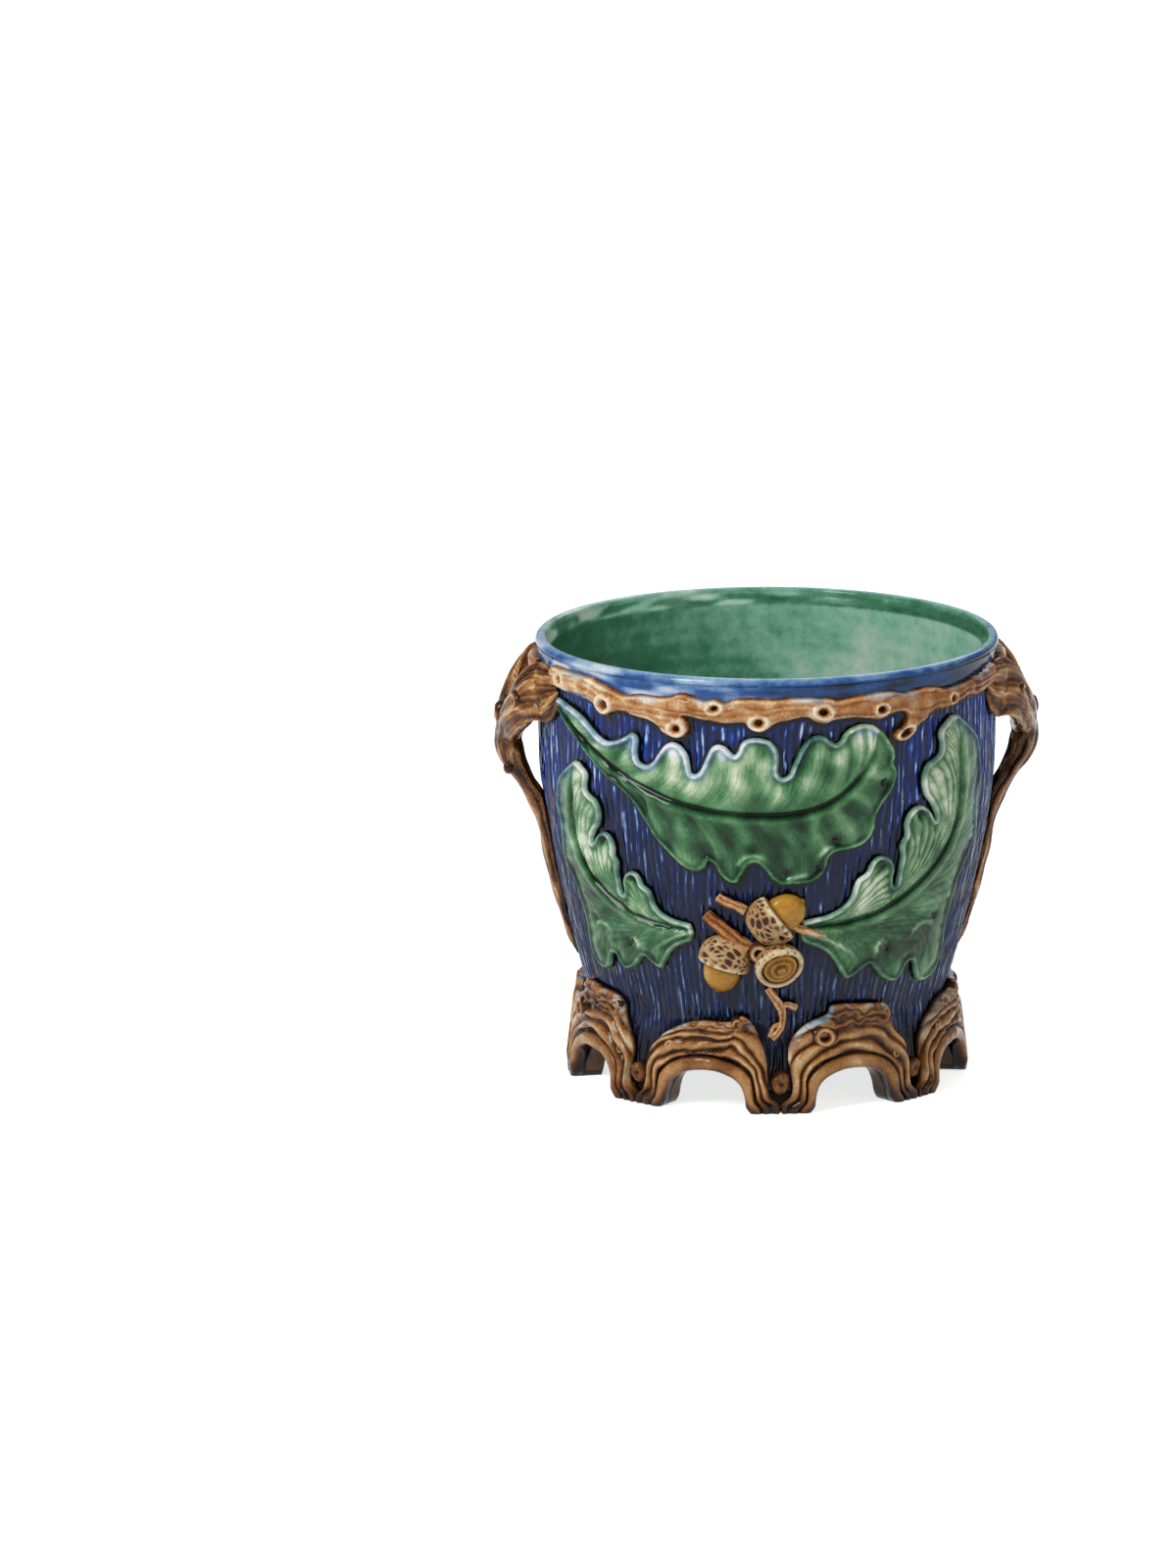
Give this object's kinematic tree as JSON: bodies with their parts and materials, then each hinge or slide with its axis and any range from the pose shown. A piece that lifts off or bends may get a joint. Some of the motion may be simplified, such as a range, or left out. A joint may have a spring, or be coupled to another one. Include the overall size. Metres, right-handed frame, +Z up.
{
  "type": "jardiniere",
  "caption": "Round glazed earthenware jardiniere on an arched root foot, with branch handles, a knotty twig band under the rim, and oak leaves and acorns in relief on the wall",
  "frame": {"origin": "middle of the foot, on the table plane; the lowest point of the feet is z = 0", "axes": "+Z up; the face with the broad leaf and the acorns looks along -Y, the handles stand out along +X and -X"},
  "size_m": [0.3274, 0.2926, 0.27],
  "materials": {
    "cobalt_body": "deep cobalt lead glaze over grooved ground outside, green glaze inside, glossy",
    "foot_glaze": "near-black brown glossy glaze",
    "root_bark": "brown glossy glaze, caramel on the strands and dark in the grooves",
    "handle_bark": "red-brown to caramel glossy glaze",
    "twig_band": "honey glossy glaze, cream on the high places",
    "leaf_green": "translucent emerald to sage glossy glaze with pale raised edges",
    "acorn_cup": "dark purple-brown glossy glaze with a cream net",
    "acorn_nut": "ochre glossy glaze",
    "twig": "tan brown glossy glaze"
  },
  "bodies": {
    "root": {"pot_body": "cobalt_body", "foot_ring": "foot_glaze", "root_arch_1": "root_bark", "root_arch_2": "root_bark", "root_arch_3": "root_bark", "root_arch_4": "root_bark", "root_arch_5": "root_bark", "root_arch_6": "root_bark", "root_arch_7": "root_bark", "root_arch_8": "root_bark", "foot_knot_1": "foot_glaze", "foot_knot_2": "foot_glaze", "foot_knot_3": "foot_glaze", "foot_knot_4": "foot_glaze", "foot_knot_5": "foot_glaze", "foot_knot_6": "foot_glaze", "foot_knot_7": "foot_glaze", "foot_knot_8": "foot_glaze", "handle_right": "handle_bark", "handle_left": "handle_bark", "twig_band_right": "twig_band", "twig_band_left": "twig_band", "twig_band_front": "twig_band", "leaf_broad_front": "leaf_green", "leaf_upright_front": "leaf_green", "leaf_low_front": "leaf_green", "acorn_cup_a_front": "acorn_cup", "acorn_nut_a_front": "acorn_nut", "acorn_cup_b_front": "acorn_cup", "acorn_nut_b_front": "acorn_nut", "acorn_cup_c_front": "acorn_cup", "acorn_nut_c_front": "acorn_nut", "acorn_knot_front": "acorn_cup", "twig_cut_a_front": "twig", "twig_cut_b_front": "twig", "twig_hanging_front": "twig", "twig_band_back": "twig_band", "leaf_broad_back": "leaf_green", "leaf_upright_back": "leaf_green", "leaf_low_back": "leaf_green", "acorn_cup_a_back": "acorn_cup", "acorn_nut_a_back": "acorn_nut", "acorn_cup_b_back": "acorn_cup", "acorn_nut_b_back": "acorn_nut", "acorn_cup_c_back": "acorn_cup", "acorn_nut_c_back": "acorn_nut", "acorn_knot_back": "acorn_cup", "twig_cut_a_back": "twig", "twig_cut_b_back": "twig", "twig_hanging_back": "twig"}
  },
  "joints": []
}
